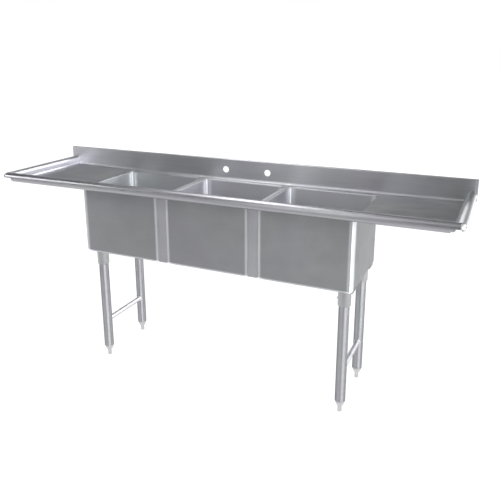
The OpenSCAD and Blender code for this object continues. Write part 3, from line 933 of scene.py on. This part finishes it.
# Where the floor's front ends, how its front changes from left to right, and where its far right begins.
FLOOR_FRONT_Y, FLOOR_FRONT_X, FLOOR_RIGHT_X = (-1.3, -0.9), (-1.2, 0.7), (2.2, 2.7)
FLOOR_HALF = 40.0
# The sky's level low down and overhead, and as sines the heights and the rearward lean where it changes.
SKY_BASE, SKY_TOP = 0.16, 0.45
LOW_BAND, LOW_BAND_REAR, OVERHEAD = (0.10, 0.17), (0.0, 0.4), (0.75, 0.95)
# Each panel's azimuth, elevation, half width and half height in degrees, and its strength.
PANELS = (
    (128, 8, 24, 14, 5.5),
    (142, 32, 14, 12, 4.0),
    (100, 42, 18, 16, 3.0),
    (199, 26, 6, 34, 1.8),
    (231, 24, 4, 12, 7.0),
    (268, 67, 18, 4, 7.0),
    (315, 26, 24, 10, 0.5),
    (325, 47, 4, 7, 4.0),
    (42, 30, 14, 12, 4.5),
    (353, 9, 9, 8, 2.6))


def plain_floor():
    """A pale floor: it glows softly, so that shadows on it stay faint, and is dimmer in front of the sink."""
    material, tree = node_tree("pale_floor")
    place = add_node(tree, "ShaderNodeTexCoord").outputs["Object"]
    axes = add_node(tree, "ShaderNodeSeparateXYZ", {0: place})
    front = ramp(tree, axes.outputs["X"], *FLOOR_FRONT_X, FRONT_LEFT_FLOOR, FRONT_RIGHT_FLOOR)
    back = ramp(tree, axes.outputs["X"], *FLOOR_RIGHT_X, 1.0, FAR_RIGHT_FLOOR)
    share = ramp(tree, axes.outputs["Y"], *FLOOR_FRONT_Y)
    tone = add_node(tree, "ShaderNodeMix", {"Factor": share, 2: front, 3: back}, data_type="FLOAT").outputs[0]
    glow = add_node(tree, "ShaderNodeVectorMath", {0: (1, 1, 1), "Scale": tone}, operation="SCALE")
    shader = add_node(tree, "ShaderNodeBsdfPrincipled", {
        "Base Color": (FLOOR_BASE, FLOOR_BASE, FLOOR_BASE, 1), "Roughness": 0.9, "Specular IOR Level": 0.0,
        "Emission Color": glow.outputs[0], "Emission Strength": FLOOR_GLOW})
    add_node(tree, "ShaderNodeOutputMaterial", {0: shader.outputs[0]})
    mesh = bpy.data.meshes.new("floor")
    far = FLOOR_HALF
    mesh.from_pydata([(-far, -far, 0), (far, -far, 0), (far, far, 0), (-far, far, 0)], [], [[0, 1, 2, 3]])
    mesh.materials.append(material)
    floor = bpy.data.objects.new("floor", mesh)
    bpy.context.scene.collection.objects.link(floor)


def panel(tree, direction, azimuth, elevation, half_width, half_height, strength, edge=0.5):
    """A far soft panel of light; azimuth is in degrees from the rear toward the right."""
    az, el = math.radians(azimuth), math.radians(elevation)
    ahead = (math.sin(az) * math.cos(el), math.cos(az) * math.cos(el), math.sin(el))
    across = (math.cos(az), -math.sin(az), 0)
    upward = Vector(across).cross(Vector(ahead))
    level = None
    for axis, half in ((across, half_width), (upward, half_height)):
        reach = math.sin(math.radians(half))
        share = add_node(tree, "ShaderNodeVectorMath", {0: direction, 1: tuple(axis)},
                         operation="DOT_PRODUCT")
        distance = absolute(tree, share.outputs["Value"])
        part = ramp(tree, distance, reach * (1 - edge), reach * (1 + edge), 1.0, 0.0)
        level = part if level is None else combine(tree, "MULTIPLY", level, part)
    front = add_node(tree, "ShaderNodeVectorMath", {0: direction, 1: ahead}, operation="DOT_PRODUCT")
    level = combine(tree, "MULTIPLY", level, ramp(tree, front.outputs["Value"], 0.0, 0.1))
    return combine(tree, "MULTIPLY", level, strength)


def studio_sky():
    """Soft light from all round, white low down at the back, with a few broad panels."""
    world = bpy.data.worlds.new("studio")
    bpy.context.scene.world = world
    world.use_nodes = True
    tree = world.node_tree
    tree.nodes.clear()
    direction = add_node(tree, "ShaderNodeTexCoord").outputs["Generated"]
    axes = add_node(tree, "ShaderNodeSeparateXYZ", {0: direction}).outputs
    low_band = combine(tree, "MULTIPLY", ramp(tree, axes["Z"], *LOW_BAND, 1.0, 0.0),
                       ramp(tree, axes["Y"], *LOW_BAND_REAR))
    level = ramp(tree, axes["Z"], *OVERHEAD, SKY_BASE, SKY_TOP)
    for sizes in PANELS:
        level = combine(tree, "ADD", level, panel(tree, direction, *sizes))
    level = combine(tree, "MAXIMUM", level, low_band)
    shade = add_node(tree, "ShaderNodeBackground", {"Color": (1, 1, 1, 1), "Strength": level})
    add_node(tree, "ShaderNodeOutputWorld", {0: shade.outputs[0]})


plain_floor()
studio_sky()

CAMERA_PLACE = (1.0634, -2.1218, 1.4015)
CAMERA_YAW, CAMERA_DROP, CAMERA_ROLL = 23.97, 15.32, -0.02

camera_data = bpy.data.cameras.new("camera")
camera_data.lens = 42.34
camera_data.shift_y = -0.0854
camera = bpy.data.objects.new("camera", camera_data)
camera.location = CAMERA_PLACE
camera.rotation_euler = (Matrix.Rotation(math.radians(CAMERA_YAW), 3, "Z")
                         @ Matrix.Rotation(math.radians(90 - CAMERA_DROP), 3, "X")
                         @ Matrix.Rotation(math.radians(CAMERA_ROLL), 3, "Z")).to_euler()
bpy.context.scene.collection.objects.link(camera)
bpy.context.scene.camera = camera
bpy.context.scene.view_settings.view_transform = "Standard"
